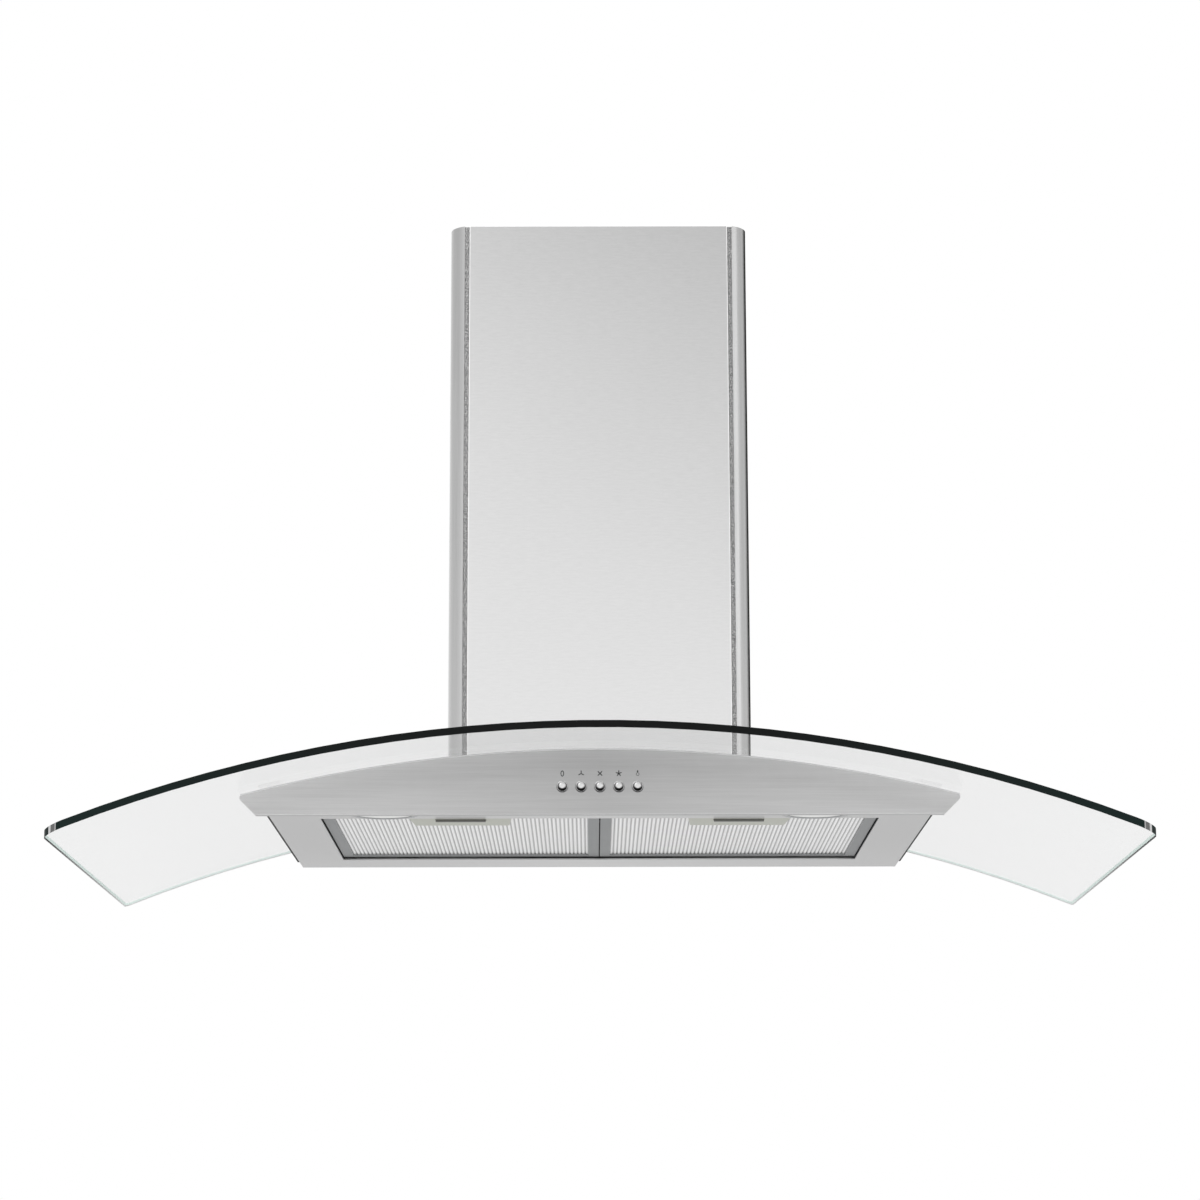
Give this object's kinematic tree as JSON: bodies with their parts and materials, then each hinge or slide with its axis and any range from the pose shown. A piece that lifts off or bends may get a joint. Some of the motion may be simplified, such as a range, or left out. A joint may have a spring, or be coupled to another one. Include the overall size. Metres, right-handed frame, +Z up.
{
  "type": "curved glass range hood",
  "caption": "Wall chimney range hood with an arched clear glass canopy over a low steel body with push buttons, lamps, latched mesh filters, blower and telescopic chimney.",
  "frame": {"origin": "on the wall plane, on the centre line, at the lower edge of the rear wall, level with the underside panel", "axes": "+X to the right as seen from the room, +Y into the wall, +Z up"},
  "size_m": [0.9, 0.5, 0.5949],
  "materials": {
    "glass": "clear tempered, dark green at the edge",
    "steel": "brushed",
    "zinc": "galvanised sheet",
    "fastener": "zinc plated",
    "chrome": "polished",
    "rubber": "matte black",
    "foam": "dense foam",
    "silicone": "translucent",
    "black_plastic": "moulded, fine texture",
    "grey_plastic": "moulded",
    "latch_plastic": "satin moulded",
    "white_plastic": "smooth",
    "motor_paint": "satin black",
    "filter_frame": "satin",
    "filter_mesh": "expanded mesh, folded",
    "lens": "frosted"
  },
  "bodies": {
    "hood": {"blower_box": "zinc", "blower_gasket": "foam", "body_shell": "steel", "bracket_screws": "fastener", "button_bezels": "chrome", "cable_gland": "black_plastic", "capacitor": "white_plastic", "capacitor_strap": "black_plastic", "chimney_front": "steel", "chimney_side_left": "steel", "chimney_side_right": "steel", "clamp_bolts": "fastener", "clamp_nuts": "fastener", "cover_glides": "white_plastic", "cover_screws": "fastener", "damper_rod": "fastener", "front_panel": "steel", "glass_canopy": "glass", "glass_strips": "silicone", "lamp_bezel_left": "chrome", "lamp_bezel_right": "chrome", "lamp_lens_left": "lens", "lamp_lens_right": "lens", "lamp_module_left": "white_plastic", "lamp_module_right": "white_plastic", "lamp_springs": "fastener", "motor": "motor_paint", "motor_bracket": "steel", "outlet_collar": "black_plastic", "panel_nuts": "fastener", "plenum_gasket": "foam", "scroll_left": "grey_plastic", "scroll_right": "grey_plastic", "scroll_screws": "fastener", "side_seal_left": "rubber", "side_seal_right": "rubber", "switch_block": "black_plastic", "switch_screws": "fastener", "terminal_box": "black_plastic", "terminal_lid": "black_plastic", "underside_panel": "steel"},
    "impeller": {"impeller": "black_plastic", "motor_shaft": "fastener"},
    "damper_front": {"damper_flap_front": "grey_plastic"},
    "damper_rear": {"damper_flap_rear": "grey_plastic"},
    "upper_chimney": {"upper_cover": "steel", "upper_bracket": "zinc"},
    "button_1": {"button_1": "chrome"},
    "button_2": {"button_2": "chrome"},
    "button_3": {"button_3": "chrome"},
    "button_4": {"button_4": "chrome"},
    "button_5": {"button_5": "chrome"},
    "filter_left": {"filter_frame_left": "filter_frame", "filter_mesh_left": "filter_mesh", "latch_plate_left": "latch_plastic"},
    "latch_left": {"latch_left": "latch_plastic"},
    "filter_right": {"filter_frame_right": "filter_frame", "filter_mesh_right": "filter_mesh", "latch_plate_right": "latch_plastic"},
    "latch_right": {"latch_right": "latch_plastic"}
  },
  "joints": [
    {"name": "impeller_spin", "type": "hinge", "parent": "hood", "child": "impeller", "pos_m": [0, -0.108, 0.176], "axis": [1, 0, 0], "continuous": true},
    {"name": "damper_front_swing", "type": "hinge", "parent": "hood", "child": "damper_front", "pos_m": [0, -0.125, 0.352], "axis": [-1, 0, 0], "range_deg": [0, 75]},
    {"name": "damper_rear_swing", "type": "hinge", "parent": "hood", "child": "damper_rear", "pos_m": [0, -0.125, 0.352], "axis": [1, 0, 0], "range_deg": [0, 75]},
    {"name": "upper_chimney_slide", "type": "slide", "parent": "hood", "child": "upper_chimney", "axis": [0, 0, 1], "range_m": [0, 0.38]},
    {"name": "button_1_press", "type": "slide", "parent": "hood", "child": "button_1", "axis": [0, 1, 0], "range_m": [0, 0.0025], "stiffness_N_per_m": 800, "springref_m": -0.001},
    {"name": "button_2_press", "type": "slide", "parent": "hood", "child": "button_2", "axis": [0, 1, 0], "range_m": [0, 0.0025], "stiffness_N_per_m": 800, "springref_m": -0.001},
    {"name": "button_3_press", "type": "slide", "parent": "hood", "child": "button_3", "axis": [0, 1, 0], "range_m": [0, 0.0025], "stiffness_N_per_m": 800, "springref_m": -0.001},
    {"name": "button_4_press", "type": "slide", "parent": "hood", "child": "button_4", "axis": [0, 1, 0], "range_m": [0, 0.0025], "stiffness_N_per_m": 800, "springref_m": -0.001},
    {"name": "button_5_press", "type": "slide", "parent": "hood", "child": "button_5", "axis": [0, 1, 0], "range_m": [0, 0.0025], "stiffness_N_per_m": 800, "springref_m": -0.001},
    {"name": "filter_left_swing", "type": "hinge", "parent": "hood", "child": "filter_left", "pos_m": [0, -0.0576, 0.0043], "axis": [1, 0, 0], "range_deg": [0, 80]},
    {"name": "latch_left_slide", "type": "slide", "parent": "filter_left", "child": "latch_left", "axis": [0, 1, 0], "range_m": [0, 0.006], "stiffness_N_per_m": 300, "springref_m": -0.002},
    {"name": "filter_right_swing", "type": "hinge", "parent": "hood", "child": "filter_right", "pos_m": [0, -0.0576, 0.0043], "axis": [1, 0, 0], "range_deg": [0, 80]},
    {"name": "latch_right_slide", "type": "slide", "parent": "filter_right", "child": "latch_right", "axis": [0, 1, 0], "range_m": [0, 0.006], "stiffness_N_per_m": 300, "springref_m": -0.002}
  ]
}
